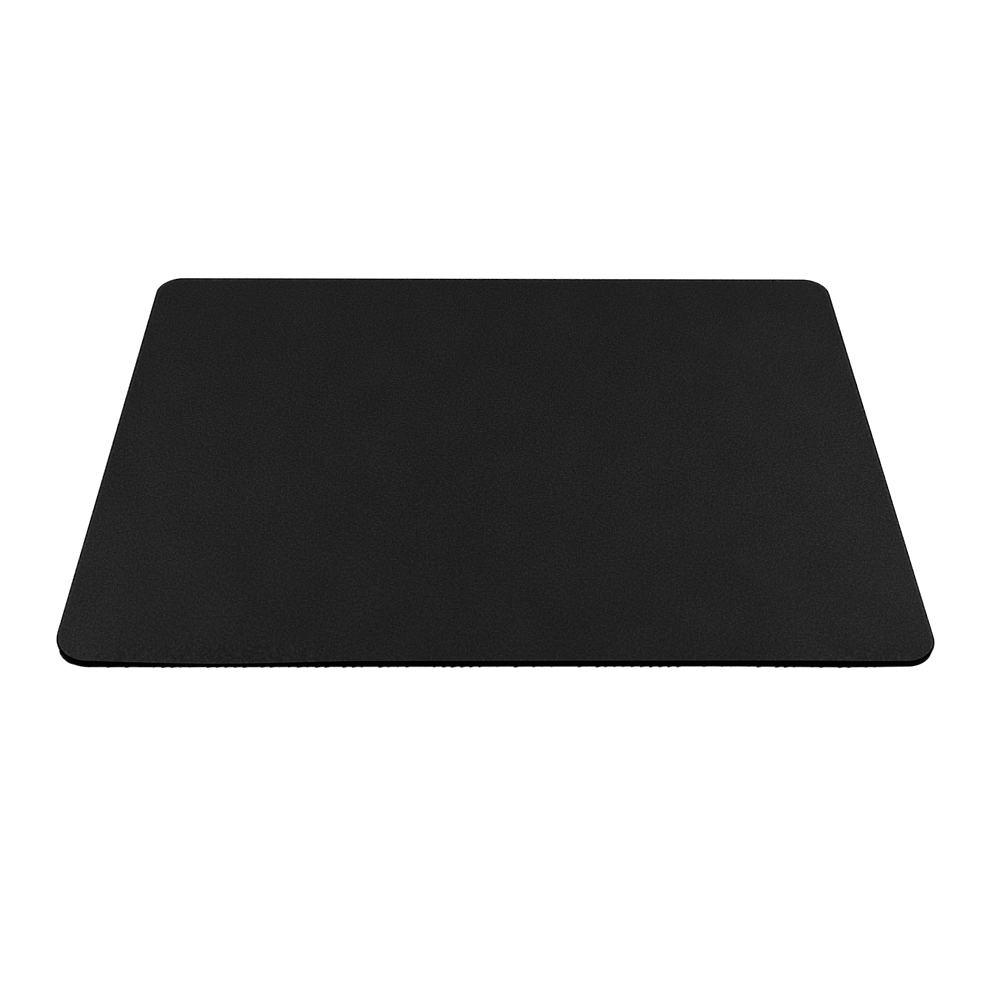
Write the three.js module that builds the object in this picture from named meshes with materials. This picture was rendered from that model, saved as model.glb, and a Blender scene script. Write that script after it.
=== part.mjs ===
// A desk mouse pad: knitted cloth, held by a thin adhesive film to a sheet of sponge rubber.
// The three layers are cut out together, as one rectangle with rounded corners.
// Millimetres, +Z up. The origin is on the desk, under the middle of the pad. +X runs along
// the pad's long side, and +Y points away from the person at the desk.

import * as THREE from 'three';

// Driving dimensions of the whole pad
const padWidth = 350;
const padDepth = 250;
const cornerRadius = 12.5;

// Driving dimensions of the layers, from the desk up
const rubberThickness = 3.0;
const filmThickness = 0.1;
const clothThickness = 0.5;

// The cutting die drags the cloth's rim over, and the sponge springs back behind the blade
const clothRimRadius = 0.35;
const rubberFootRadius = 0.25;
const rubberSideHollow = 0.15;

// How many flat steps each round stretch is made of
const cornerSteps = 16;
const edgeSteps = 4;
const hollowSteps = 6;

// Heights that follow from the layers
const filmHeight = rubberThickness;
const clothHeight = rubberThickness + filmThickness;

const quarterTurn = Math.PI / 2;

// The cut outline, drawn in by inset: four quarter circles, joined by the straight sides
function outlinePoints(inset) {
  const radius = cornerRadius - inset;
  const cornerX = padWidth / 2 - cornerRadius;
  const cornerY = padDepth / 2 - cornerRadius;
  const outline = new THREE.Path();
  outline.absarc(cornerX, cornerY, radius, 0, quarterTurn);
  outline.absarc(-cornerX, cornerY, radius, quarterTurn, 2 * quarterTurn);
  outline.absarc(-cornerX, -cornerY, radius, 2 * quarterTurn, 3 * quarterTurn);
  outline.absarc(cornerX, -cornerY, radius, 3 * quarterTurn, 4 * quarterTurn);
  return outline.getPoints(cornerSteps / 2);
}

// A rounded edge seen in section, from the side of the pad in to a flat face.
// Each point holds its inset in x and its height in y. The face looks up (1) or down (-1).
function roundedEdge(radius, faceHeight, looks) {
  const points = [];
  for (let step = 0; step <= edgeSteps; step += 1) {
    const angle = (step / edgeSteps) * quarterTurn;
    const inset = radius * (1 - Math.cos(angle));
    const height = faceHeight - looks * radius * (1 - Math.sin(angle));
    points.push(new THREE.Vector2(inset, height));
  }
  return points;
}

// The walls between a stack of outline rings, each ring joined to the one above it
function wallTriangles(ringCount, ringSize) {
  const triangles = [];
  for (let ring = 0; ring < ringCount - 1; ring += 1) {
    const lower = ring * ringSize;
    const upper = lower + ringSize;
    for (let here = 0; here < ringSize; here += 1) {
      const next = (here + 1) % ringSize;
      triangles.push(lower + here, lower + next, upper + next);
      triangles.push(lower + here, upper + next, upper + here);
    }
  }
  return triangles;
}

// One closed layer. Its section lists the inset and height of the edge from bottom to top.
function layerGeometry(section) {
  const positions = [];
  for (const level of section) {
    for (const point of outlinePoints(level.x)) {
      positions.push(point.x, point.y, level.y);
    }
  }
  const outline = outlinePoints(0);
  const triangles = wallTriangles(section.length, outline.length);
  const topRing = (section.length - 1) * outline.length;
  for (const [a, b, c] of THREE.ShapeUtils.triangulateShape(outline, [])) {
    triangles.push(c, b, a);
    triangles.push(topRing + a, topRing + b, topRing + c);
  }
  const geometry = new THREE.BufferGeometry();
  geometry.setAttribute('position', new THREE.Float32BufferAttribute(positions, 3));
  geometry.setIndex(triangles);
  geometry.computeVertexNormals();
  return geometry;
}

function addLayer(group, name, section, height, material) {
  const mesh = new THREE.Mesh(layerGeometry(section), material);
  mesh.name = name;
  mesh.position.z = height;
  group.add(mesh);
}

// Sponge rubber base: a rounded foot, then a cut side that bows in a little
function rubberSection() {
  const section = roundedEdge(rubberFootRadius, 0, -1).reverse();
  const sideHeight = rubberThickness - rubberFootRadius;
  for (let step = 1; step <= hollowSteps; step += 1) {
    const share = step / hollowSteps;
    const inset = rubberSideHollow * Math.sin(Math.PI * share);
    section.push(new THREE.Vector2(inset, rubberFootRadius + sideHeight * share));
  }
  return section;
}

// Adhesive film: a plain thin sheet, cut flush with the other two layers
function filmSection() {
  return [new THREE.Vector2(0, 0), new THREE.Vector2(0, filmThickness)];
}

// Knitted cloth: a thin sheet with its upper rim pressed round
function clothSection() {
  return [new THREE.Vector2(0, 0), ...roundedEdge(clothRimRadius, clothThickness, 1)];
}

const rubberMaterial = new THREE.MeshStandardMaterial({
  color: 0x161616,
  roughness: 0.85,
  metalness: 0,
});

const filmMaterial = new THREE.MeshStandardMaterial({
  color: 0x1c1c1e,
  roughness: 0.6,
  metalness: 0,
});

const clothMaterial = new THREE.MeshStandardMaterial({
  color: 0x232323,
  roughness: 0.95,
  metalness: 0,
});

const group = new THREE.Group();
addLayer(group, 'rubber_base', rubberSection(), 0, rubberMaterial);
addLayer(group, 'bonding_film', filmSection(), filmHeight, filmMaterial);
addLayer(group, 'cloth_top', clothSection(), clothHeight, clothMaterial);

export default group;
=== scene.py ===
# %% [markdown]
# # A cloth mouse pad, layer by layer
# The pad is a laminate: a sheet of sponge rubber, a film of adhesive and a fine knitted cloth, cut
# out together with a steel rule die. The solids that were packed before hold its true size, so
# every size here is read from them or is a real size in metres. The work goes layer by layer, from
# the desk up, the way the pad is laid together in the workshop.

# %% Load the frame
import math

import bmesh
import bpy
from mathutils import Matrix, Vector


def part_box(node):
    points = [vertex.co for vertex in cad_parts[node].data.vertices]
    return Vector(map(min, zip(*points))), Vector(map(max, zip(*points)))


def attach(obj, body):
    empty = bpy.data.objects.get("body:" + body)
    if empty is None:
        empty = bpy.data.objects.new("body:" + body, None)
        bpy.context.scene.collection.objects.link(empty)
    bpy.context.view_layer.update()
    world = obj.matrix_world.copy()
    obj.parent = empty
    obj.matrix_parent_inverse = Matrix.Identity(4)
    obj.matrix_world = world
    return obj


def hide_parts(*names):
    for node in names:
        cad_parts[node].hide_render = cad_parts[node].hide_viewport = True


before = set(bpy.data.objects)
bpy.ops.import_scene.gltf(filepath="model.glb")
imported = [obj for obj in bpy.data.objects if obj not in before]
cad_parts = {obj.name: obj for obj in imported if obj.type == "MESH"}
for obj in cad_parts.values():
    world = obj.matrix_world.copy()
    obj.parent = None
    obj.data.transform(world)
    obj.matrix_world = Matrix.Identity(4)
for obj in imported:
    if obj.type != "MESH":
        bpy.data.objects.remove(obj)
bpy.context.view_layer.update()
scene = bpy.context.scene

# %% [markdown]
# ## Sizes
# The outline and the height of each layer come from the solids. The corner radius is the one size
# that a box can't tell, so it is written here as the real size that the die has. At the front left
# the pad has been handled most, and there the corner is worn a little rounder than it was cut.

# %% Sizes from the frame
millimetre = 0.001
rubber_low, rubber_high = (Vector(corner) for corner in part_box("rubber_base"))
film_low, film_high = (Vector(corner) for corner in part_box("bonding_film"))
cloth_low, cloth_high = (Vector(corner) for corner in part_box("cloth_top"))
half_width = cloth_high.x
half_depth = cloth_high.y
pad_width = 2 * half_width
pad_depth = 2 * half_depth
corner_radius = 12.5 * millimetre
front_left_wear = 2.7 * millimetre
rubber_thickness = rubber_high.z - rubber_low.z
film_thickness = film_high.z - film_low.z
cloth_thickness = cloth_high.z - cloth_low.z
pad_height = cloth_high.z
print("pad", pad_width, pad_depth, pad_height)
print("layers", rubber_thickness, film_thickness, cloth_thickness)

# %% [markdown]
# ## Camera
# The pad is seen from the user's side of the desk, looking down at about 46 degrees. Straight
# edges that meet in the distance fix the lens and the place of the camera, so these values are
# real ones: a place in metres, three angles, and a lens for a 36 mm wide sensor.

# %% Camera
image_side = 1000.0
focal_length_pixels = 1287.4
camera_place = Vector((-0.00471, -0.42871, 0.41078))
camera_pitch = math.radians(46.104)
camera_yaw = math.radians(0.979)
camera_roll = math.radians(-0.721)

camera_data = bpy.data.cameras.new("camera")
camera_data.sensor_width = 36.0
camera_data.lens = camera_data.sensor_width * focal_length_pixels / image_side
camera_data.clip_start = 0.01
camera = bpy.data.objects.new("camera", camera_data)
scene.collection.objects.link(camera)
camera.matrix_world = (
    Matrix.Translation(camera_place)
    @ Matrix.Rotation(-camera_yaw, 4, "Z")
    @ Matrix.Rotation(math.radians(90) - camera_pitch, 4, "X")
    @ Matrix.Rotation(-camera_roll, 4, "Z")
)
scene.camera = camera
print("lens", round(camera_data.lens, 2), "mm")

# %% [markdown]
# ## Helpers for node trees
# Geometry Nodes and shader nodes are built by the same few calls: make a tree with named sockets,
# add a node with its inputs filled or linked, and do sums with Math nodes. Short helpers keep the
# trees below readable.

# %% Node helpers
NUMBER, WHOLE, VECTOR = "NodeSocketFloat", "NodeSocketInt", "NodeSocketVector"
SHAPE, FINISH = "NodeSocketGeometry", "NodeSocketMaterial"


def numbers(*labels):
    """Named sockets that each take a plain number."""
    return dict.fromkeys(labels, NUMBER)


def new_tree(name, kind, inputs, outputs):
    """A node tree with named sockets, and its input and output sockets."""
    tree = bpy.data.node_groups.new(name, kind)
    for in_out, sockets in (("INPUT", inputs), ("OUTPUT", outputs)):
        for label, socket_type in sockets.items():
            tree.interface.new_socket(name=label, in_out=in_out, socket_type=socket_type)
    given = tree.nodes.new("NodeGroupInput").outputs
    result = tree.nodes.new("NodeGroupOutput").inputs
    print("tree", name, "takes", ", ".join(inputs))
    return tree, given, result


def add(tree, kind, sockets=None, **options):
    """A node with its options set and its inputs linked to a socket or filled with a value."""
    node = tree.nodes.new(kind)
    for option, value in options.items():
        setattr(node, option, value)
    for key, value in (sockets or {}).items():
        if isinstance(value, bpy.types.NodeSocket):
            tree.links.new(value, node.inputs[key])
        else:
            node.inputs[key].default_value = value
    return node


def grouped(tree, group, values):
    """One use of a node group inside another tree, with its own values."""
    kind = tree.bl_idname.replace("Tree", "Group")
    return add(tree, kind, values, node_tree=group).outputs


def calc(tree, operation, *values):
    """One Math node, whose values are sockets or plain numbers."""
    return add(tree, "ShaderNodeMath", dict(enumerate(values)), operation=operation).outputs[0]


def product(tree, first, *others):
    """All the values multiplied with each other, one Math node after another."""
    for other in others:
        first = calc(tree, "MULTIPLY", first, other)
    return first


def eased(tree, value, start, end):
    """0 while value is at start, 1 from end on, and a soft step between them."""
    sockets = {"Value": value, "From Min": start, "From Max": end}
    return add(tree, "ShaderNodeMapRange", sockets, interpolation_type="SMOOTHSTEP").outputs[0]


def between(tree, share, low, high):
    """low where share is 0, high where it is 1, and in proportion for the rest."""
    return calc(tree, "ADD", product(tree, share, high - low), low)


def centred(tree, value):
    """A value that runs from 0 to 1, moved down to run from -0.5 to 0.5."""
    return calc(tree, "SUBTRACT", value, 0.5)


def split_xyz(tree, vector):
    parts = add(tree, "ShaderNodeSeparateXYZ", {0: vector}).outputs
    return parts["X"], parts["Y"], parts["Z"]


def join_xyz(tree, x=0.0, y=0.0, z=0.0):
    return add(tree, "ShaderNodeCombineXYZ", {"X": x, "Y": y, "Z": z}).outputs[0]


def scaled(tree, vector, amount):
    node = add(tree, "ShaderNodeVectorMath", {0: vector, "Scale": amount}, operation="SCALE")
    return node.outputs[0]


def noise(tree, where, feature_size, detail=2.0, roughness=0.5):
    """Noise whose lumps are about feature_size metres across, from 0 to 1."""
    sockets = {
        "Vector": where,
        "Scale": calc(tree, "DIVIDE", 1.0, feature_size),
        "Detail": detail,
        "Roughness": roughness,
    }
    return add(tree, "ShaderNodeTexNoise", sockets).outputs[0]


# %% The worn corner, for shapes and finishes alike
def front_left(tree, x, y):
    """1 where x and y both point to the front left, and 0 elsewhere."""
    return product(tree, calc(tree, "LESS_THAN", x, 0.0), calc(tree, "LESS_THAN", y, 0.0))


def radius_at(tree, x, y, radius, wear):
    """The corner radius that holds at a point: larger by wear in the front left quarter."""
    return calc(tree, "ADD", radius, product(tree, front_left(tree, x, y), wear))


# %% [markdown]
# ## How a shape is made
# Each shape below is a rule with sizes, so a Geometry Nodes tree makes it. The modifier's inputs
# are set by the socket's identifier before the object is first evaluated. Then the result is kept
# as a plain mesh and the modifier goes, so that nothing can change it later.

# %% The die's outline, which every shape follows
outline_inputs = numbers("Width", "Depth", "Corner Radius", "Corner Wear")


def die_outline(inset=0.0):
    """The sizes of the die's outline, or of a line that runs a little inside it."""
    return {
        "Width": pad_width - 2 * inset,
        "Depth": pad_depth - 2 * inset,
        "Corner Radius": corner_radius - inset,
        "Corner Wear": front_left_wear,
    }


# %% Run a tree and keep its mesh
def polyline(name, points):
    """A thin line of edges through points, for a tree to use as a cross-section."""
    mesh = bpy.data.meshes.new(name)
    edges = [(i, i + 1) for i in range(len(points) - 1)]
    mesh.from_pydata([(x, y, 0.0) for x, y in points], edges, [])
    return mesh


def shaped(name, tree, values, start=None):
    """Runs a tree on a new object, and leaves the object with the plain mesh that came out."""
    piece = bpy.data.objects.new(name, start or bpy.data.meshes.new(name + "_start"))
    scene.collection.objects.link(piece)
    modifier = piece.modifiers.new("shape", "NODES")
    modifier.node_group = tree
    identifiers = {
        item.name: item.identifier
        for item in tree.interface.items_tree
        if item.item_type == "SOCKET" and item.in_out == "INPUT"
    }
    for label, value in values.items():
        modifier[identifiers[label]] = value
    evaluated = piece.evaluated_get(bpy.context.evaluated_depsgraph_get())
    mesh = bpy.data.meshes.new_from_object(evaluated)
    piece.modifiers.remove(modifier)
    piece.data = mesh
    mesh.name = name
    for empty_slot in [i for i, finish in enumerate(mesh.materials) if not finish][::-1]:
        mesh.materials.pop(index=empty_slot)
    print(name, len(mesh.vertices), "points", len(mesh.polygons), "faces")
    return piece


# %% Close and join
crease_angle = math.radians(50)


def close_and_join(piece, *others):
    """Closes what a sweep leaves open, takes in the other pieces, and turns all faces outwards."""
    mesh = bmesh.new()
    mesh.from_mesh(piece.data)
    for other in others:
        mesh.from_mesh(other.data)
        bpy.data.objects.remove(other)
    open_edges = [edge for edge in mesh.edges if edge.is_boundary]
    bmesh.ops.holes_fill(mesh, edges=open_edges, sides=0)
    bmesh.ops.recalc_face_normals(mesh, faces=mesh.faces)
    still_open = sum(edge.is_boundary for edge in mesh.edges)
    mesh.to_mesh(piece.data)
    mesh.free()
    piece.data.set_sharp_from_angle(angle=crease_angle)
    print(piece.name, len(piece.data.polygons), "faces, open edges left:", still_open)


# %% [markdown]
# ## Shared shader groups
# Three effects are used by more than one material, so each is a group with named inputs: the fine
# grain that no black surface is without, the distance from the cut edge, which tells where the cut
# side lies and where shade and a highlight are painted along the rim, and stray specks of dust and
# lint. The grain multiplies and divides a colour by up to about two: its light points then stand out
# as a fine sparkle, which adding and subtracting wouldn't give. A group puts out only numbers that
# change over the surface; the shader stays in the material.

# %% Grain
def grain_group():
    """Fine grain and broad mottling. Shade is a factor round 1, and Height runs from 0 to 1."""
    sizes = numbers("Grain Size", "Grain Strength", "Mottle Size", "Mottle Strength")
    inputs = {"Place": VECTOR, **sizes}
    outputs = numbers("Shade", "Height")
    tree, given, result = new_tree("grain", "ShaderNodeTree", inputs, outputs)
    fine = noise(tree, given["Place"], given["Grain Size"], detail=1.0, roughness=0.6)
    broad = noise(tree, given["Place"], given["Mottle Size"], detail=3.0, roughness=0.55)
    fine_swing = product(tree, centred(tree, fine), given["Grain Strength"])
    broad_swing = product(tree, centred(tree, broad), given["Mottle Strength"])
    shade = calc(tree, "EXPONENT", calc(tree, "ADD", fine_swing, broad_swing))
    tree.links.new(shade, result["Shade"])
    tree.links.new(fine, result["Height"])
    return tree


grain = grain_group()

# %% Distance from the cut edge
def cut_edge_group():
    """How far a point lies inside the die-cut outline, a rectangle with rounded corners."""
    sizes = numbers("Half Width", "Half Depth", "Corner Radius", "Corner Wear")
    inputs = {"Place": VECTOR, **sizes}
    tree, given, result = new_tree("cut_edge", "ShaderNodeTree", inputs, numbers("Inset"))
    x, y, _ = split_xyz(tree, given["Place"])
    radius = radius_at(tree, x, y, given["Corner Radius"], given["Corner Wear"])
    past = []
    for along, half in ((x, given["Half Width"]), (y, given["Half Depth"])):
        straight = calc(tree, "SUBTRACT", half, radius)
        past.append(calc(tree, "SUBTRACT", calc(tree, "ABSOLUTE", along), straight))
    squares = [calc(tree, "POWER", calc(tree, "MAXIMUM", over, 0.0), 2.0) for over in past]
    round_part = calc(tree, "SQRT", calc(tree, "ADD", *squares))
    flat_part = calc(tree, "MINIMUM", calc(tree, "MAXIMUM", *past), 0.0)
    reach = calc(tree, "ADD", round_part, flat_part)
    tree.links.new(calc(tree, "SUBTRACT", radius, reach), result["Inset"])
    return tree


cut_edge = cut_edge_group()
outline_sizes = {
    "Half Width": half_width,
    "Half Depth": half_depth,
    "Corner Radius": corner_radius,
    "Corner Wear": front_left_wear,
}

# %% Specks of dust and lint
def specks_group():
    """1 on a few small specks, one at most in each patch of about Spacing, and 0 elsewhere."""
    inputs = {"Place": VECTOR, **numbers("Spacing", "Speck Size", "Share")}
    tree, given, result = new_tree("specks", "ShaderNodeTree", inputs, numbers("Speck"))
    scale = calc(tree, "DIVIDE", 1.0, given["Spacing"])
    cells = add(tree, "ShaderNodeTexVoronoi", {"Vector": given["Place"], "Scale": scale})
    chance, size, _ = split_xyz(tree, cells.outputs["Color"])
    chosen = calc(tree, "LESS_THAN", chance, given["Share"])
    distance = product(tree, cells.outputs["Distance"], given["Spacing"])
    smallest, largest = 0.3, 1.3
    radius = product(tree, given["Speck Size"], between(tree, size, smallest, largest))
    near = calc(tree, "LESS_THAN", distance, radius)
    tree.links.new(product(tree, chosen, near), result["Speck"])
    return tree


specks = specks_group()

# %% Material helpers
def new_material(name):
    """An empty material with its Principled shader, and the piece's own coordinates."""
    material = bpy.data.materials.new(name)
    material.use_nodes = True
    tree = material.node_tree
    shader = tree.nodes["Principled BSDF"]
    place = add(tree, "ShaderNodeTexCoord").outputs["Object"]
    print("material", name)
    return material, tree, shader, place


def blended(tree, share, below, above):
    """One colour laid over another where share is 1."""
    colour_share, colour_below, colour_above = 0, 6, 7
    sockets = {colour_share: share, colour_below: below, colour_above: above}
    return add(tree, "ShaderNodeMix", sockets, data_type="RGBA").outputs[2]


def relief(tree, shader, height, strength, depth):
    """Fine relief that only the shading shows: a Bump node on the shader's normal."""
    sockets = {"Height": height, "Strength": strength, "Distance": depth}
    bump = add(tree, "ShaderNodeBump", sockets)
    tree.links.new(bump.outputs[0], shader.inputs["Normal"])


# %% [markdown]
# ## Where the front edge isn't straight
# A pad that was held at its edge while it was packed keeps a soft dip there: over some twelve
# centimetres of the front edge the rim lies lower, by nearly two millimetres at the most. Beside it
# the left corner curls up a little. Near the right corner the edge bulges out and sags by half a
# millimetre, and then that corner curls up too. All layers bend alike, and the underside still rests
# on the desk. So one group of nodes works a bend out from a point's place, and each layer's tree
# uses it once for every bend.

# %% One bend of the front edge
def edge_bend_group():
    """How far a point moves: in full at the rim, less with depth inwards. The foot never sinks."""
    shared = numbers("Front", "Top", "Reach")
    inputs = {"Place": VECTOR, **shared, **numbers("Middle", "Half Length", "Dip", "Bulge")}
    tree, given, result = new_tree("edge_bend", "GeometryNodeTree", inputs, {"Offset": VECTOR})
    x, y, z = split_xyz(tree, given["Place"])
    aside = calc(tree, "ABSOLUTE", calc(tree, "SUBTRACT", x, given["Middle"]))
    along = eased(tree, aside, given["Half Length"], 0.0)
    inwards = eased(tree, calc(tree, "SUBTRACT", y, given["Front"]), given["Reach"], 0.0)
    share = product(tree, along, inwards, -1.0)
    height_share = calc(tree, "DIVIDE", z, given["Top"])
    drop = product(tree, share, height_share, given["Dip"])
    out = product(tree, share, given["Bulge"])
    tree.links.new(join_xyz(tree, y=out, z=drop), result["Offset"])
    return tree


edge_bend = edge_bend_group()
bend_reach = 11 * millimetre
bends = (
    {"Middle": -0.109, "Half Length": 0.060, "Dip": 1.7 * millimetre},
    {"Middle": -0.175, "Half Length": 0.045, "Dip": -0.6 * millimetre},
    {"Middle": 0.136, "Half Length": 0.050, "Bulge": 0.48 * millimetre},
    {"Middle": 0.152, "Half Length": 0.035, "Dip": 0.45 * millimetre},
    {"Middle": 0.175, "Half Length": 0.013, "Dip": -0.75 * millimetre},
)


def bent(tree, shape):
    """The shape with all bends of the front edge, for each point by its place."""
    shared = {"Front": -half_depth, "Top": pad_height, "Reach": bend_reach}
    shared["Place"] = add(tree, "GeometryNodeInputPosition").outputs[0]
    offsets = [grouped(tree, edge_bend, {**shared, **bend})["Offset"] for bend in bends]
    total = offsets[0]
    for offset in offsets[1:]:
        total = add(tree, "ShaderNodeVectorMath", {0: total, 1: offset}).outputs[0]
    return add(tree, "GeometryNodeSetPosition", {"Geometry": shape, "Offset": total}).outputs[0]


def finished(tree, shape, finish, result):
    """The end of each tree: real faces, shaded smooth, with their finish."""
    smooth = add(tree, "GeometryNodeSetShadeSmooth", {"Geometry": shape})
    solid = add(tree, "GeometryNodeRealizeInstances", {"Geometry": smooth.outputs[0]})
    sockets = {"Geometry": solid.outputs[0], "Material": finish}
    tree.links.new(add(tree, "GeometryNodeSetMaterial", sockets).outputs[0], result)


# %% [markdown]
# ## Sponge rubber: the finish
# The base is black natural rubber, blown into a fine sponge. Its cut side is open-pored: its pores
# are painted darker as shade, and the whole cut side is painted near black as the shade it stands
# in. The underside has a moulded skin: a little smoother, polished where its ribs rub on the desk,
# and seldom free of dust. Height above the desk is all the shader needs to tell the crests from the
# rest.

# %% Rubber material
rib_height = 0.1 * millimetre


def rubber_material():
    material, tree, shader, place = new_material("sponge_rubber")
    skin = grouped(tree, grain, {
        "Place": place,
        "Grain Size": 0.5 * millimetre,
        "Grain Strength": 1.6,
        "Mottle Size": 9 * millimetre,
        "Mottle Strength": 0.8,
    })
    inset = grouped(tree, cut_edge, {"Place": place, **outline_sizes})["Inset"]
    cut_side = eased(tree, inset, 0.6 * millimetre, 0.35 * millimetre)
    pore_size = 0.42 * millimetre
    cells = add(tree, "ShaderNodeTexVoronoi", {"Vector": place, "Scale": 1 / pore_size})
    pore_rim, pore_middle = 0.55, 0.15
    hole = eased(tree, cells.outputs["Distance"], pore_rim, pore_middle)
    wall = calc(tree, "SUBTRACT", 1.0, product(tree, hole, cut_side))
    # The pores on the cut side are painted darker, as shade in the holes.
    pore_painted_shade = between(tree, wall, 0.25, 1.0)
    _, _, height = split_xyz(tree, place)
    crest = eased(tree, height, 0.05 * millimetre, 0.02 * millimetre)
    polish = between(tree, product(tree, crest, skin["Height"]), 1.0, 1.8)
    # The whole cut side is painted near black, as the shade the side stands in.
    cut_side_painted_shade = between(tree, cut_side, 1.0, 0.055)
    moulded_black = (0.012, 0.012, 0.0122)
    shade = product(tree, skin["Shade"], pore_painted_shade, polish, cut_side_painted_shade)
    black = scaled(tree, moulded_black, shade)
    dust = grouped(tree, specks, {
        "Place": place,
        "Spacing": 3.5 * millimetre,
        "Speck Size": 0.16 * millimetre,
        "Share": 0.22,
    })
    underside = eased(tree, height, 0.6 * millimetre, 0.4 * millimetre)
    dusty = product(tree, underside, dust["Speck"])
    dust_colour = (0.06, 0.058, 0.055, 1.0)
    tree.links.new(blended(tree, dusty, black, dust_colour), shader.inputs["Base Color"])
    tree.links.new(between(tree, crest, 0.9, 0.65), shader.inputs["Roughness"])
    pores_and_skin = calc(tree, "ADD", wall, skin["Height"])
    relief(tree, shader, pores_and_skin, strength=0.5, depth=0.08 * millimetre)
    shader.inputs["Specular IOR Level"].default_value = 0.005
    return material


sponge_rubber = rubber_material()

# %% [markdown]
# ## Cut layers: the shape
# The rubber and the film are the same thing at two thicknesses: a sheet whose edge has a section
# of its own. So one tree makes both. It rounds the corners of a rectangle, sweeps the section
# round that path, and tears the cut side a little with noise, which it leaves off wherever two
# layers meet. Sponge gives way under the blade, and at the worn corner its foot stands out beyond
# the cloth. The open middle of each face is then closed with one flat face.

# %% Keep a value through a sweep
def remembered(tree, shape, vector):
    """The shape, and a vector that each of its points keeps through the steps that follow."""
    keeper = tree.nodes.new("GeometryNodeCaptureAttribute")
    keeper.capture_items.new("VECTOR", "Kept")
    tree.links.new(shape, keeper.inputs["Geometry"])
    tree.links.new(vector, keeper.inputs["Kept"])
    return keeper.outputs["Geometry"], keeper.outputs["Kept"]


# %% Tree for a cut layer
points_an_arc = 24


def rounded_outline(tree, given):
    """The die's path: a rectangle with its corners filleted."""
    box = add(tree, "GeometryNodeCurvePrimitiveQuadrilateral", {
        "Width": given["Width"],
        "Height": given["Depth"],
    })
    x, y, _ = split_xyz(tree, add(tree, "GeometryNodeInputPosition").outputs[0])
    return add(tree, "GeometryNodeFilletCurve", {
        "Curve": box.outputs[0],
        "Count": points_an_arc,
        "Radius": radius_at(tree, x, y, given["Corner Radius"], given["Corner Wear"]),
    }, mode="POLY").outputs[0]


def cut_layer_tree():
    inputs = {
        "Section": SHAPE,
        **outline_inputs,
        **numbers("Top", "Step", "Corner Lean", "Tear Depth", "Tear Size"),
        "Finish": FINISH,
    }
    tree, given, result = new_tree("cut_layer", "GeometryNodeTree", inputs, {"Layer": SHAPE})
    path = add(tree, "GeometryNodeResampleCurve", {
        "Curve": rounded_outline(tree, given),
        "Length": given["Step"],
    }, mode="LENGTH")
    level = add(tree, "GeometryNodeSetCurveNormal", {"Curve": path.outputs[0]}, mode="Z_UP")
    along_x, along_y, _ = split_xyz(tree, add(tree, "GeometryNodeInputTangent").outputs[0])
    outward = join_xyz(tree, along_y, product(tree, along_x, -1.0))
    rail, facing = remembered(tree, level.outputs[0], outward)
    section = add(tree, "GeometryNodeMeshToCurve", {"Mesh": given["Section"]})
    place = add(tree, "GeometryNodeInputPosition").outputs[0]
    profile, section_point = remembered(tree, section.outputs[0], place)
    swept = add(tree, "GeometryNodeCurveToMesh", {"Curve": rail, "Profile Curve": profile})
    outwards, below_top, _ = split_xyz(tree, section_point)
    facing_x, facing_y, _ = split_xyz(tree, facing)
    # The two parts of a direction add up to 1 along a side, and to 1.41 on the diagonal.
    both_ways = calc(tree, "ADD", *(calc(tree, "ABSOLUTE", part) for part in (facing_x, facing_y)))
    lean_starts, diagonal = 1.3, 1.4
    slanting = eased(tree, both_ways, lean_starts, diagonal)
    in_corner = product(tree, slanting, front_left(tree, facing_x, facing_y))
    lean = scaled(tree, facing, product(tree, in_corner, below_top, given["Corner Lean"]))
    lift = join_xyz(tree, z=given["Top"])
    raised = add(tree, "GeometryNodeSetPosition", {
        "Geometry": swept.outputs[0],
        "Offset": add(tree, "ShaderNodeVectorMath", {0: lift, 1: lean}).outputs[0],
    })
    at_side = eased(tree, outwards, -0.5 * millimetre, -0.25 * millimetre)
    off_top = eased(tree, below_top, 0.0, 0.5 * millimetre)
    fine = noise(tree, place, given["Tear Size"], detail=3.0, roughness=0.6)
    broad_size = product(tree, given["Tear Size"], 6.0)
    broad = noise(tree, place, broad_size, detail=1.0)
    torn = product(tree, calc(tree, "ADD", fine, broad), at_side, off_top, given["Tear Depth"], -1.0)
    normal = add(tree, "GeometryNodeInputNormal").outputs[0]
    rough = add(tree, "GeometryNodeSetPosition", {
        "Geometry": raised.outputs[0],
        "Offset": scaled(tree, normal, torn),
    })
    finished(tree, bent(tree, rough.outputs[0]), given["Finish"], result["Layer"])
    return tree


cut_layer = cut_layer_tree()

# %% Section helpers
def face_strip(depth):
    """Points from well inside a flat face out to its rim, close enough to follow a bend."""
    strip_width = bend_reach + 0.5 * millimetre
    strip_steps = 5
    return [(-strip_width * (1 - step / strip_steps), depth) for step in range(strip_steps)]


def quarter_round(radius, middle_x, middle_depth, start_angle, steps):
    """Points on a quarter circle, turning from start_angle by a right angle."""
    points = []
    for step in range(steps + 1):
        angle = start_angle + math.radians(90) * step / steps
        points.append((middle_x + radius * math.cos(angle), middle_depth + radius * math.sin(angle)))
    return points


# %% Section of the sponge
side_hollow = 0.15 * millimetre
foot_radius = 0.1 * millimetre
sponge_depth = rubber_thickness - rib_height


def sponge_section():
    """From the top face out, down the hollow side, round the foot and in under the slab."""
    side_steps = 9
    side_depth = sponge_depth - foot_radius
    side = []
    for step in range(side_steps):
        share = step / side_steps
        side.append((-side_hollow * math.sin(math.pi * share), side_depth * share))
    foot = quarter_round(foot_radius, -foot_radius, side_depth, 0.0, 3)
    under = list(reversed(face_strip(sponge_depth)))
    return face_strip(0.0) + side + foot + under


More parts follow.
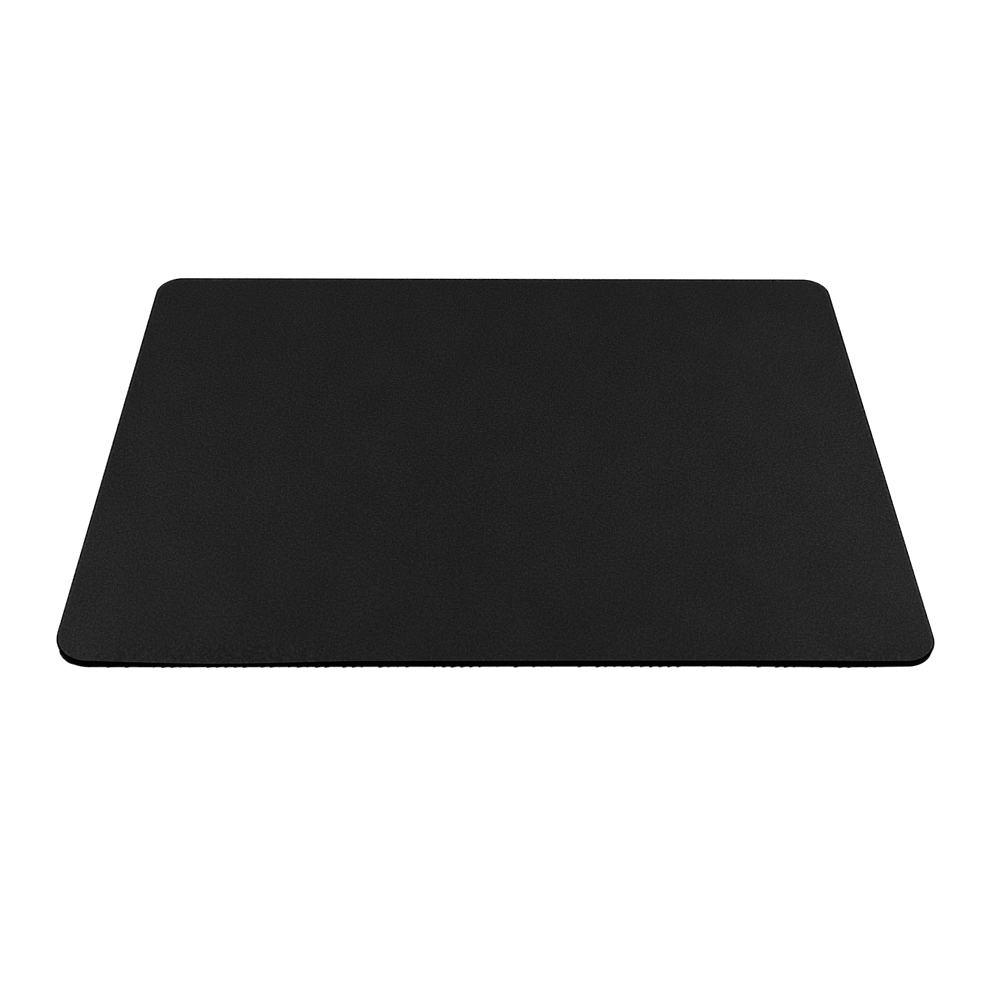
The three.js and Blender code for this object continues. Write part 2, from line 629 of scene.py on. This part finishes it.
# %% Cut the sponge
base = shaped("sponge_base", cut_layer, {
    **die_outline(),
    "Top": rubber_thickness,
    "Step": 0.8 * millimetre,
    "Corner Lean": 0.15,
    "Tear Depth": 0.12 * millimetre,
    "Tear Size": 1.1 * millimetre,
    "Finish": sponge_rubber,
}, polyline("sponge_section", sponge_section()))

# %% [markdown]
# ## Sponge rubber: the ribs underneath
# Such pads grip the desk with a pattern of low ribs, moulded into the roll before the pads are
# cut from it, so the pattern runs out at the cut edge and leaves small notches there. Here the
# ribs are waves that run from front to back. One row of points holds a straight line each, a sine
# bends the lines, and a flat-topped section is swept along them. Each line ends where the outline
# does, also in the round corners, but a blade doesn't cut sponge cleanly: some ends tear out a
# little further in than others, and the ribs are not all quite the same width.

# %% Tree for the ribs
def wave_ribs_tree():
    inputs = {
        **outline_inputs,
        **numbers("Margin", "Torn End", "Pitch", "Wave Length", "Swing"),
        **numbers("Crest Width", "Root Width", "Height", "Wobble", "Step"),
        "Finish": FINISH,
    }
    tree, given, result = new_tree("wave_ribs", "GeometryNodeTree", inputs, {"Ribs": SHAPE})
    half_x = product(tree, given["Width"], 0.5)
    half_y = product(tree, given["Depth"], 0.5)
    room = calc(tree, "SUBTRACT", half_x, given["Margin"])
    ribs_a_side = calc(tree, "FLOOR", calc(tree, "DIVIDE", room, given["Pitch"]))
    row = add(tree, "GeometryNodeMeshLine", {
        "Count": calc(tree, "ADD", product(tree, ribs_a_side, 2.0), 1.0),
        "Start Location": join_xyz(tree, product(tree, ribs_a_side, given["Pitch"], -1.0)),
        "Offset": join_xyz(tree, given["Pitch"]),
    })
    front_to_back = {"Start": (0, -1, 0), "End": (0, 1, 0)}
    line = add(tree, "GeometryNodeCurvePrimitiveLine", front_to_back)
    steps = calc(tree, "ADD", calc(tree, "DIVIDE", given["Depth"], given["Step"]), 1.0)
    fine_line = add(tree, "GeometryNodeResampleCurve", {"Curve": line.outputs[0], "Count": steps})
    lines = add(tree, "GeometryNodeInstanceOnPoints", {
        "Points": row.outputs[0],
        "Instance": fine_line.outputs[0],
    })
    real_lines = add(tree, "GeometryNodeRealizeInstances", {"Geometry": lines.outputs[0]})
    place = add(tree, "GeometryNodeInputPosition").outputs[0]
    x, share, _ = split_xyz(tree, place)
    outer = calc(tree, "ADD", calc(tree, "ABSOLUTE", x), given["Margin"])
    radius = radius_at(tree, x, share, given["Corner Radius"], given["Corner Wear"])
    straight = calc(tree, "SUBTRACT", half_x, radius)
    past = calc(tree, "MAXIMUM", calc(tree, "SUBTRACT", outer, straight), 0.0)
    squares = [calc(tree, "POWER", side, 2.0) for side in (radius, past)]
    arc = calc(tree, "SQRT", calc(tree, "MAXIMUM", calc(tree, "SUBTRACT", *squares), 0.0))
    lost = calc(tree, "SUBTRACT", radius, arc)
    this_end = {"Vector": join_xyz(tree, x, calc(tree, "SIGN", share))}
    luck = add(tree, "ShaderNodeTexWhiteNoise", this_end, noise_dimensions="2D").outputs[0]
    torn = product(tree, luck, luck, given["Torn End"])
    reach = calc(tree, "SUBTRACT", calc(tree, "SUBTRACT", half_y, lost), torn)
    y = product(tree, share, reach)
    turn = product(tree, calc(tree, "DIVIDE", y, given["Wave Length"]), 2 * math.pi)
    waved_x = calc(tree, "ADD", x, product(tree, calc(tree, "SINE", turn), given["Swing"]))
    half_height = product(tree, given["Height"], 0.5)
    waved = add(tree, "GeometryNodeSetPosition", {
        "Geometry": real_lines.outputs[0],
        "Position": join_xyz(tree, waved_x, y, half_height),
    })
    level = add(tree, "GeometryNodeSetCurveNormal", {"Curve": waved.outputs[0]}, mode="Z_UP")
    section = add(tree, "GeometryNodeCurvePrimitiveQuadrilateral", {
        "Height": given["Height"],
        "Bottom Width": given["Root Width"],
        "Top Width": given["Crest Width"],
        "Offset": 0.0,
    }, mode="TRAPEZOID")
    bars = add(tree, "GeometryNodeCurveToMesh", {
        "Curve": level.outputs[0],
        "Profile Curve": section.outputs[0],
        "Fill Caps": True,
    })
    wobble_size = 1.6 * millimetre
    wobble = centred(tree, noise(tree, place, wobble_size, detail=1.0))
    uneven = add(tree, "GeometryNodeSetPosition", {
        "Geometry": bars.outputs[0],
        "Offset": join_xyz(tree, product(tree, wobble, given["Wobble"], 2.0)),
    })
    finished(tree, bent(tree, uneven.outputs[0]), given["Finish"], result["Ribs"])
    return tree


# %% Mould the ribs and join them to the sponge
rib_pitch = 3.55 * millimetre
rib_swing = 0.9 * millimetre
rib_root = 2.2 * millimetre
rib_wobble = 0.6 * millimetre
rib_clearance = 0.15 * millimetre
waves_to_edge = 11.75
rib_overlap = 0.02 * millimetre

ribs = shaped("wave_ribs", wave_ribs_tree(), {
    **die_outline(),
    "Margin": rib_swing + (rib_root + rib_wobble) / 2 + rib_clearance,
    "Torn End": 1.0 * millimetre,
    "Pitch": rib_pitch,
    "Wave Length": half_depth / waves_to_edge,
    "Swing": rib_swing,
    "Crest Width": 1.6 * millimetre,
    "Root Width": rib_root,
    "Height": rib_height + rib_overlap,
    "Wobble": rib_wobble,
    "Step": 1.5 * millimetre,
    "Finish": sponge_rubber,
})
close_and_join(base, ribs)
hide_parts("rubber_base")
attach(base, "root")

# %% [markdown]
# ## Adhesive film
# A film of hot-melt glue bonds the cloth to the rubber. Only its cut edge can be seen, as a thin
# and slightly glossy line between two matt layers. The die squeezes it, so its edge stands back a
# little. It is cut by the same tree as the sponge, from a section of its own. It neither leans nor
# tears, so the inputs for that stay at 0.

# %% Film material
def film_material():
    material, tree, shader, place = new_material("adhesive_film")
    streaks = grouped(tree, grain, {
        "Place": place,
        "Grain Size": 0.3 * millimetre,
        "Grain Strength": 1.2,
        "Mottle Size": 4 * millimetre,
        "Mottle Strength": 0.9,
    })
    glue_black = (0.001, 0.001, 0.0011)
    tree.links.new(scaled(tree, glue_black, streaks["Shade"]), shader.inputs["Base Color"])
    tree.links.new(between(tree, streaks["Height"], 0.35, 0.65), shader.inputs["Roughness"])
    relief(tree, shader, streaks["Height"], strength=0.4, depth=0.03 * millimetre)
    shader.inputs["Specular IOR Level"].default_value = 0.02
    return material


adhesive_film = film_material()

# %% Cut the film
film_edge_inset = 0.04 * millimetre


def film_section():
    """Out along the upper face, down the cut, and back in along the lower face."""
    out = [(-film_edge_inset, 0.0), (-film_edge_inset, film_thickness)]
    return face_strip(0.0) + out + list(reversed(face_strip(film_thickness)))


film = shaped("glue_film", cut_layer, {
    **die_outline(),
    "Top": film_high.z,
    "Step": 1.0 * millimetre,
    "Finish": adhesive_film,
}, polyline("film_section", film_section()))
close_and_join(film)
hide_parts("bonding_film")
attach(film, "root")

# %% [markdown]
# ## Knitted cloth: the finish
# The face is a dense polyester jersey, dyed black. Its loops are under half a millimetre, too small
# to be seen from a chair, so what the eye gets is a matt black with a fine sparkle of grain. The
# loops are a formula: two slanting legs to each wale, with the gaps between the yarns painted a
# little darker as shade. Along the cut the colour is painted near black as the shade of the
# turned-over rim, and just inside that a thin paler line is a painted highlight. These painted
# lines are broader at the sides and towards the back.
# At the front the wrist has rubbed the nap smooth, so the grain is weaker.

# %% Knit loops
def knit_group():
    """Loops of a jersey: Height is 1 on top of a yarn and 0 in the gap between yarns."""
    inputs = {"Place": VECTOR, **numbers("Wale", "Course", "Wander")}
    tree, given, result = new_tree("knit", "ShaderNodeTree", inputs, numbers("Height"))
    x, y, _ = split_xyz(tree, given["Place"])
    wander_size = 4 * millimetre
    drift = centred(tree, noise(tree, given["Place"], wander_size))
    drift = product(tree, drift, given["Wander"])
    across = calc(tree, "ADD", calc(tree, "DIVIDE", x, given["Wale"]), drift)
    along = calc(tree, "ADD", calc(tree, "DIVIDE", y, given["Course"]), drift)
    from_middle = calc(tree, "ABSOLUTE", centred(tree, calc(tree, "FRACT", across)))
    leg_place = 0.25
    off_leg = product(tree, calc(tree, "SUBTRACT", from_middle, leg_place), 1 / leg_place)
    leg = calc(tree, "SUBTRACT", 1.0, product(tree, off_leg, off_leg))
    turn = product(tree, calc(tree, "ADD", along, from_middle), 2 * math.pi)
    loop = between(tree, calc(tree, "SINE", turn), 0.5, 1.0)
    body = between(tree, loop, 0.45, 1.0)
    tree.links.new(product(tree, leg, body), result["Height"])
    return tree


knit = knit_group()

# %% Painted rim shade and highlight
def painted_rim_shade_and_highlight(tree, inset, place):
    """A factor for the cloth's colour: painted shade on the cut rim, a painted highlight just inside
    it.
    """
    x, y, _ = split_xyz(tree, place)
    aside = calc(tree, "ABSOLUTE", x)
    at_side = eased(tree, aside, half_width - 14 * millimetre, half_width - 4 * millimetre)
    to_back = calc(tree, "DIVIDE", calc(tree, "ADD", y, half_depth), pad_depth)
    at_back = eased(tree, y, half_depth - 6 * millimetre, half_depth - 1 * millimetre)
    # The painted lines are drawn broader at the sides, towards the back and at the back edge.
    for share, times_as_broad in ((at_side, 1.18), (to_back, 1.42), (at_back, 1.85)):
        inset = calc(tree, "DIVIDE", inset, between(tree, share, 1.0, times_as_broad))
    # The outer band is painted near black, as the shade of the turned-over rim.
    rim_painted_shade = eased(tree, inset, 0.79 * millimetre, 0.68 * millimetre)
    past_rim_painted_shade = eased(tree, inset, 0.7 * millimetre, 0.82 * millimetre)
    before_field = eased(tree, inset, 1.35 * millimetre, 1.0 * millimetre)
    # Just inside it a thin paler line is painted, as a highlight along the rim.
    painted_highlight_line = product(tree, past_rim_painted_shade, before_field)
    painted_highlight_factor = between(tree, painted_highlight_line, 1.0, 1.8)
    rim_painted_shade_factor = between(tree, rim_painted_shade, 1.0, 0.03)
    return product(tree, painted_highlight_factor, rim_painted_shade_factor)


# %% Cloth material
def cloth_material():
    material, tree, shader, place = new_material("knitted_cloth")
    _, y, _ = split_xyz(tree, place)
    rubbed = eased(tree, y, 0.0, -half_depth)
    stretch = (1.0, 0.75, 1.0)
    lengthwise = add(tree, "ShaderNodeVectorMath", {0: place, 1: stretch}, operation="MULTIPLY")
    fibre = grouped(tree, grain, {
        "Place": lengthwise.outputs[0],
        "Grain Size": 0.7 * millimetre,
        "Grain Strength": between(tree, rubbed, 3.6, 2.6),
        "Mottle Size": 22 * millimetre,
        "Mottle Strength": 0.35,
    })
    loops = grouped(tree, knit, {
        "Place": place,
        "Wale": 0.46 * millimetre,
        "Course": 0.40 * millimetre,
        "Wander": 1.6,
    })
    lint = grouped(tree, specks, {
        "Place": place,
        "Spacing": 12 * millimetre,
        "Speck Size": 0.22 * millimetre,
        "Share": 0.035,
    })
    inset = grouped(tree, cut_edge, {"Place": place, **outline_sizes})["Inset"]
    # The gaps between the yarns are painted darker as shade, and the yarn tops lighter.
    yarn_gap_painted_shade = between(tree, loops["Height"], 0.82, 1.17)
    # The colour factor holds the grain, the painted yarn-gap shade and the painted rim shade and
    # highlight.
    shade = product(tree, fibre["Shade"], yarn_gap_painted_shade, painted_rim_shade_and_highlight(tree, inset, place))
    dyed_black = (0.0157, 0.0157, 0.0157)
    yarn = scaled(tree, dyed_black, shade)
    lint_colour = (0.16, 0.16, 0.155, 1.0)
    tree.links.new(blended(tree, lint["Speck"], yarn, lint_colour), shader.inputs["Base Color"])
    loops_and_fibre = calc(tree, "ADD", loops["Height"], fibre["Height"])
    relief(tree, shader, loops_and_fibre, strength=0.35, depth=0.06 * millimetre)
    shader.inputs["Roughness"].default_value = 0.95
    shader.inputs["Specular IOR Level"].default_value = 0.0
    return material


knitted_cloth = cloth_material()

# %% [markdown]
# ## Knitted cloth: the shape
# A sheet of cloth is a grid, with its threads along the two sides. The die rounds its corners, so
# the tree draws the grid's square corners in to quarter circles. The grid's own border is then the
# path for the rim: the section of a pressed edge is swept along it and welded on. A little noise
# lets the cloth lie on the sponge as cloth does, and not like glass.

# %% Draw square corners round
def round_corners(tree, position, half_x, half_y, radius, wear):
    """The position of a rectangle's point once its corner squares are bent to quarter circles."""
    x, y, z = split_xyz(tree, position)
    radius = radius_at(tree, x, y, radius, wear)
    kept, past = [], []
    for along, half in ((x, half_x), (y, half_y)):
        straight = calc(tree, "SUBTRACT", half, radius)
        size = calc(tree, "ABSOLUTE", along)
        kept.append(calc(tree, "MINIMUM", size, straight))
        over = calc(tree, "MAXIMUM", calc(tree, "SUBTRACT", size, straight), 0.0)
        past.append(calc(tree, "DIVIDE", over, radius))
    moved = []
    for i, along in enumerate((x, y)):
        other = past[1 - i]
        squeeze = calc(tree, "SQRT", calc(tree, "SUBTRACT", 1.0, product(tree, other, other, 0.5)))
        reach = calc(tree, "ADD", kept[i], product(tree, past[i], radius, squeeze))
        moved.append(product(tree, reach, calc(tree, "SIGN", along)))
    return join_xyz(tree, moved[0], moved[1], z)


# %% Tree for the cloth
weld_distance = 0.001 * millimetre
fine_wrinkle = 3 * millimetre
broad_wrinkle = 35 * millimetre


def cloth_tree():
    inputs = {
        "Section": SHAPE,
        **outline_inputs,
        **numbers("Cell", "Top", "Thickness", "Fine Unevenness", "Broad Unevenness"),
        "Finish": FINISH,
    }
    tree, given, result = new_tree("laid_cloth", "GeometryNodeTree", inputs, {"Cloth": SHAPE})
    grid = add(tree, "GeometryNodeMeshGrid", {
        "Size X": given["Width"],
        "Size Y": given["Depth"],
        "Vertices X": calc(tree, "ADD", calc(tree, "DIVIDE", given["Width"], given["Cell"]), 1.0),
        "Vertices Y": calc(tree, "ADD", calc(tree, "DIVIDE", given["Depth"], given["Cell"]), 1.0),
    })
    half_x = product(tree, given["Width"], 0.5)
    half_y = product(tree, given["Depth"], 0.5)
    at = add(tree, "GeometryNodeInputPosition").outputs[0]
    radius, wear = given["Corner Radius"], given["Corner Wear"]
    field = add(tree, "GeometryNodeSetPosition", {
        "Geometry": grid.outputs["Mesh"],
        "Position": round_corners(tree, at, half_x, half_y, radius, wear),
        "Offset": join_xyz(tree, z=given["Top"]),
    })
    faces_at_edge = add(tree, "GeometryNodeInputMeshEdgeNeighbors").outputs[0]
    only_one, tolerance = 1.0, 0.1
    border = add(tree, "GeometryNodeMeshToCurve", {
        "Mesh": field.outputs[0],
        "Selection": calc(tree, "COMPARE", faces_at_edge, only_one, tolerance),
    })
    turned = add(tree, "GeometryNodeReverseCurve", {"Curve": border.outputs[0]})
    level = add(tree, "GeometryNodeSetCurveNormal", {"Curve": turned.outputs[0]}, mode="Z_UP")
    section = add(tree, "GeometryNodeMeshToCurve", {"Mesh": given["Section"]})
    rim = add(tree, "GeometryNodeCurveToMesh", {
        "Curve": level.outputs[0],
        "Profile Curve": section.outputs[0],
    })
    both = add(tree, "GeometryNodeJoinGeometry", {0: field.outputs[0]})
    tree.links.new(rim.outputs[0], both.inputs[0])
    sheet = add(tree, "GeometryNodeMergeByDistance", {
        "Geometry": both.outputs[0],
        "Distance": weld_distance,
    })
    fine = product(tree, noise(tree, at, fine_wrinkle), given["Fine Unevenness"])
    broad = product(tree, noise(tree, at, broad_wrinkle), given["Broad Unevenness"])
    _, _, height = split_xyz(tree, at)
    bottom = calc(tree, "SUBTRACT", given["Top"], given["Thickness"])
    freedom = calc(tree, "DIVIDE", calc(tree, "SUBTRACT", height, bottom), given["Thickness"])
    inwards = product(tree, calc(tree, "ADD", fine, broad), freedom, -1.0)
    normal = add(tree, "GeometryNodeInputNormal").outputs[0]
    settled = add(tree, "GeometryNodeSetPosition", {
        "Geometry": sheet.outputs[0],
        "Offset": scaled(tree, normal, inwards),
    })
    finished(tree, bent(tree, settled.outputs[0]), given["Finish"], result["Cloth"])
    return tree


# %% Cut and lay the cloth
rim_radius = 0.35 * millimetre
rim_steps = 5


def pressed_rim():
    """Out and down round the rim, straight down the cut side, then in under the cloth."""
    above_rim = math.radians(-90)
    top = quarter_round(rim_radius, 0.0, rim_radius, above_rim, rim_steps)
    under = [(x + rim_radius, depth) for x, depth in reversed(face_strip(cloth_thickness))]
    return top + [(rim_radius, cloth_thickness)] + under


cloth = shaped("cloth_face", cloth_tree(), {
    **die_outline(rim_radius),
    "Cell": 1.25 * millimetre,
    "Top": pad_height,
    "Thickness": cloth_thickness,
    "Fine Unevenness": 0.03 * millimetre,
    "Broad Unevenness": 0.12 * millimetre,
    "Finish": knitted_cloth,
}, polyline("rim_section", pressed_rim()))
close_and_join(cloth)

# %% [markdown]
# ## Fibre ends along the cut
# A knit that is cut and not hemmed shows the ends of its yarn: short bent fibres, a few to each
# millimetre, pointing out in all directions. One fibre is a small bezier curve with a three-sided
# section, and it is set on points along the rim with its own turn and length. Twenty triangles
# each are enough for something so thin.

# %% Fibre material
def fibre_material():
    material, tree, shader, place = new_material("yarn_ends")
    dye = grouped(tree, grain, {
        "Place": place,
        "Grain Size": 0.8 * millimetre,
        "Grain Strength": 2.0,
        "Mottle Size": 12 * millimetre,
        "Mottle Strength": 0.8,
    })
    # The fibre ends are painted near black, far darker than the cloth's dye, as shade along the rim.
    painted_shade_fibre_black = (0.002, 0.002, 0.002)
    tree.links.new(scaled(tree, painted_shade_fibre_black, dye["Shade"]), shader.inputs["Base Color"])
    shader.inputs["Roughness"].default_value = 0.8
    shader.inputs["Specular IOR Level"].default_value = 0.0
    return material


# %% Tree for the fibre ends
def fibre_ends_tree():
    inputs = {
        **outline_inputs,
        **numbers("Root Height", "Length", "Thickness"),
        "Count": WHOLE,
        "Seed": WHOLE,
        "Finish": FINISH,
    }
    tree, given, result = new_tree("fibre_ends", "GeometryNodeTree", inputs, {"Fibres": SHAPE})

    def chance(low, high, draw):
        """A number from low to high for each fibre. Each draw is one of its own."""
        sockets = {2: low, 3: high, "Seed": calc(tree, "ADD", given["Seed"], draw)}
        return add(tree, "FunctionNodeRandomValue", sockets, data_type="FLOAT").outputs[1]

    roots = add(tree, "GeometryNodeCurveToPoints", {
        "Curve": rounded_outline(tree, given),
        "Count": given["Count"],
    }, mode="COUNT")
    along_x, along_y, _ = split_xyz(tree, roots.outputs["Tangent"])
    sideways = product(tree, chance(-0.6, 0.6, 1), given["Length"])
    slide = scaled(tree, roots.outputs["Tangent"], sideways)
    upwards = product(tree, chance(-0.4, 0.3, 2), given["Length"])
    lift = join_xyz(tree, z=calc(tree, "ADD", given["Root Height"], upwards))
    placed = add(tree, "GeometryNodeSetPosition", {
        "Geometry": roots.outputs["Points"],
        "Offset": add(tree, "ShaderNodeVectorMath", {0: slide, 1: lift}).outputs[0],
    })
    facing_out = calc(tree, "ARCTAN2", product(tree, along_x, -1.0), along_y)
    yaw = calc(tree, "ADD", facing_out, chance(-1.1, 1.1, 3))
    turn = join_xyz(tree, chance(0.0, 2 * math.pi, 4), chance(-1.0, 0.5, 5), yaw)
    parts_of_length = (0.55, 0.85, 0.4)
    bend_at, tip_out, tip_up = (product(tree, given["Length"], part) for part in parts_of_length)
    thread = add(tree, "GeometryNodeCurveQuadraticBezier", {
        "Resolution": 3,
        "Start": (0, 0, 0),
        "Middle": join_xyz(tree, bend_at),
        "End": join_xyz(tree, tip_out, z=tip_up),
    })
    ring = add(tree, "GeometryNodeCurvePrimitiveCircle", {
        "Resolution": 3,
        "Radius": product(tree, given["Thickness"], 0.5),
    })
    one_fibre = add(tree, "GeometryNodeCurveToMesh", {
        "Curve": thread.outputs[0],
        "Profile Curve": ring.outputs[0],
        "Fill Caps": True,
    })
    fibres = add(tree, "GeometryNodeInstanceOnPoints", {
        "Points": placed.outputs[0],
        "Instance": one_fibre.outputs[0],
        "Rotation": add(tree, "FunctionNodeEulerToRotation", {0: turn}).outputs[0],
        "Scale": join_xyz(tree, chance(0.35, 1.0, 6), 1.0, chance(0.2, 1.0, 7)),
    })
    real = add(tree, "GeometryNodeRealizeInstances", {"Geometry": fibres.outputs[0]})
    finished(tree, bent(tree, real.outputs[0]), given["Finish"], result["Fibres"])
    return tree


# %% Set the fibre ends
root_inset = 0.16 * millimetre
root_depth = 0.22 * millimetre
fibres = shaped("fibre_ends", fibre_ends_tree(), {
    **die_outline(root_inset),
    "Root Height": pad_height - root_depth,
    "Count": 2600,
    "Length": 0.42 * millimetre,
    "Thickness": 0.024 * millimetre,
    "Seed": 7,
    "Finish": fibre_material(),
})
close_and_join(fibres)
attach(fibres, "root")

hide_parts("cloth_top")
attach(cloth, "root")

# %% [markdown]
# ## Stage and light
# The pad lies on a plain pale floor in a soft light. The world fills in from all around. Two
# softboxes stand low beside the pad, one at the back left and one on the right, so its ends are a
# little brighter than its middle, and a small one lifts the front left corner. Together they light
# the cloth so that its colour renders about as it is written. Only what the camera or a mirror sees
# of the background is lifted to white, so the floor still keeps the pad's shadow.

# %% Floor
def background_rays(tree):
    """1 for rays that come straight from the camera, a mirror or clear glass, and 0 for the rest."""
    path = add(tree, "ShaderNodeLightPath").outputs
    seen = calc(tree, "MAXIMUM", path["Is Camera Ray"], path["Is Glossy Ray"])
    return calc(tree, "MAXIMUM", seen, path["Is Transmission Ray"])


floor_size = 6.0
floor_drop = 0.01 * millimetre
floor_colour = (0.5, 0.5, 0.5, 1.0)
floor_lift = 0.85

floor_material = bpy.data.materials.new("pale_floor")
floor_material.use_nodes = True
floor_tree = floor_material.node_tree
floor_tree.nodes.clear()
floor_diffuse = add(floor_tree, "ShaderNodeBsdfDiffuse", {"Color": floor_colour})
floor_glow = add(floor_tree, "ShaderNodeEmission", {
    "Strength": product(floor_tree, background_rays(floor_tree), floor_lift),
})
floor_sum = add(floor_tree, "ShaderNodeAddShader", {
    0: floor_diffuse.outputs[0],
    1: floor_glow.outputs[0],
})
add(floor_tree, "ShaderNodeOutputMaterial", {0: floor_sum.outputs[0]})

half_floor = floor_size / 2
corner_signs = ((-1, -1), (1, -1), (1, 1), (-1, 1))
floor_corners = [(x * half_floor, y * half_floor, -floor_drop) for x, y in corner_signs]
floor_mesh = bpy.data.meshes.new("floor")
floor_mesh.from_pydata(floor_corners, [], [(0, 1, 2, 3)])
floor_mesh.materials.append(floor_material)
floor = bpy.data.objects.new("floor", floor_mesh)
scene.collection.objects.link(floor)

# %% World and lamps
world = bpy.data.worlds.new("studio")
scene.world = world
world.use_nodes = True
world_tree = world.node_tree
world_fill = 0.31
white = (1, 1, 1, 1)
backdrop = world_tree.nodes["Background"]
backdrop.inputs["Color"].default_value = white
seen_white = product(world_tree, background_rays(world_tree), 1.0 - world_fill)
world_tree.links.new(calc(world_tree, "ADD", seen_white, world_fill), backdrop.inputs["Strength"])

softbox_height = 0.16
softboxes = {
    "left_softbox": {"stands": (-0.5, 0.4), "aims": (-0.1, 0.45), "size": 0.3, "power": 3.42},
    "right_softbox": {"stands": (0.5, -0.08), "aims": (0.1, -0.03), "size": 0.3, "power": 3.49},
    "corner_softbox": {"stands": (-0.326, -0.159), "aims": (-0.13, -0.08), "size": 0.15, "power": 0.61},
}


def soft_lamp(name, stands, aims, size, power):
    """A square lamp above the place where it stands, turned to the place on the desk it aims at."""
    data = bpy.data.lights.new(name, "AREA")
    data.shape = "SQUARE"
    data.size = size
    data.energy = power
    lamp = bpy.data.objects.new(name, data)
    lamp.location = (*stands, softbox_height)
    towards = Vector((*aims, 0.0)) - Vector((*stands, softbox_height))
    lamp.rotation_euler = towards.to_track_quat("-Z", "Y").to_euler()
    scene.collection.objects.link(lamp)
    print(name, "stands at", stands, "and aims at", aims)


for name, settings in softboxes.items():
    soft_lamp(name, **settings)

scene.view_settings.view_transform = "Standard"
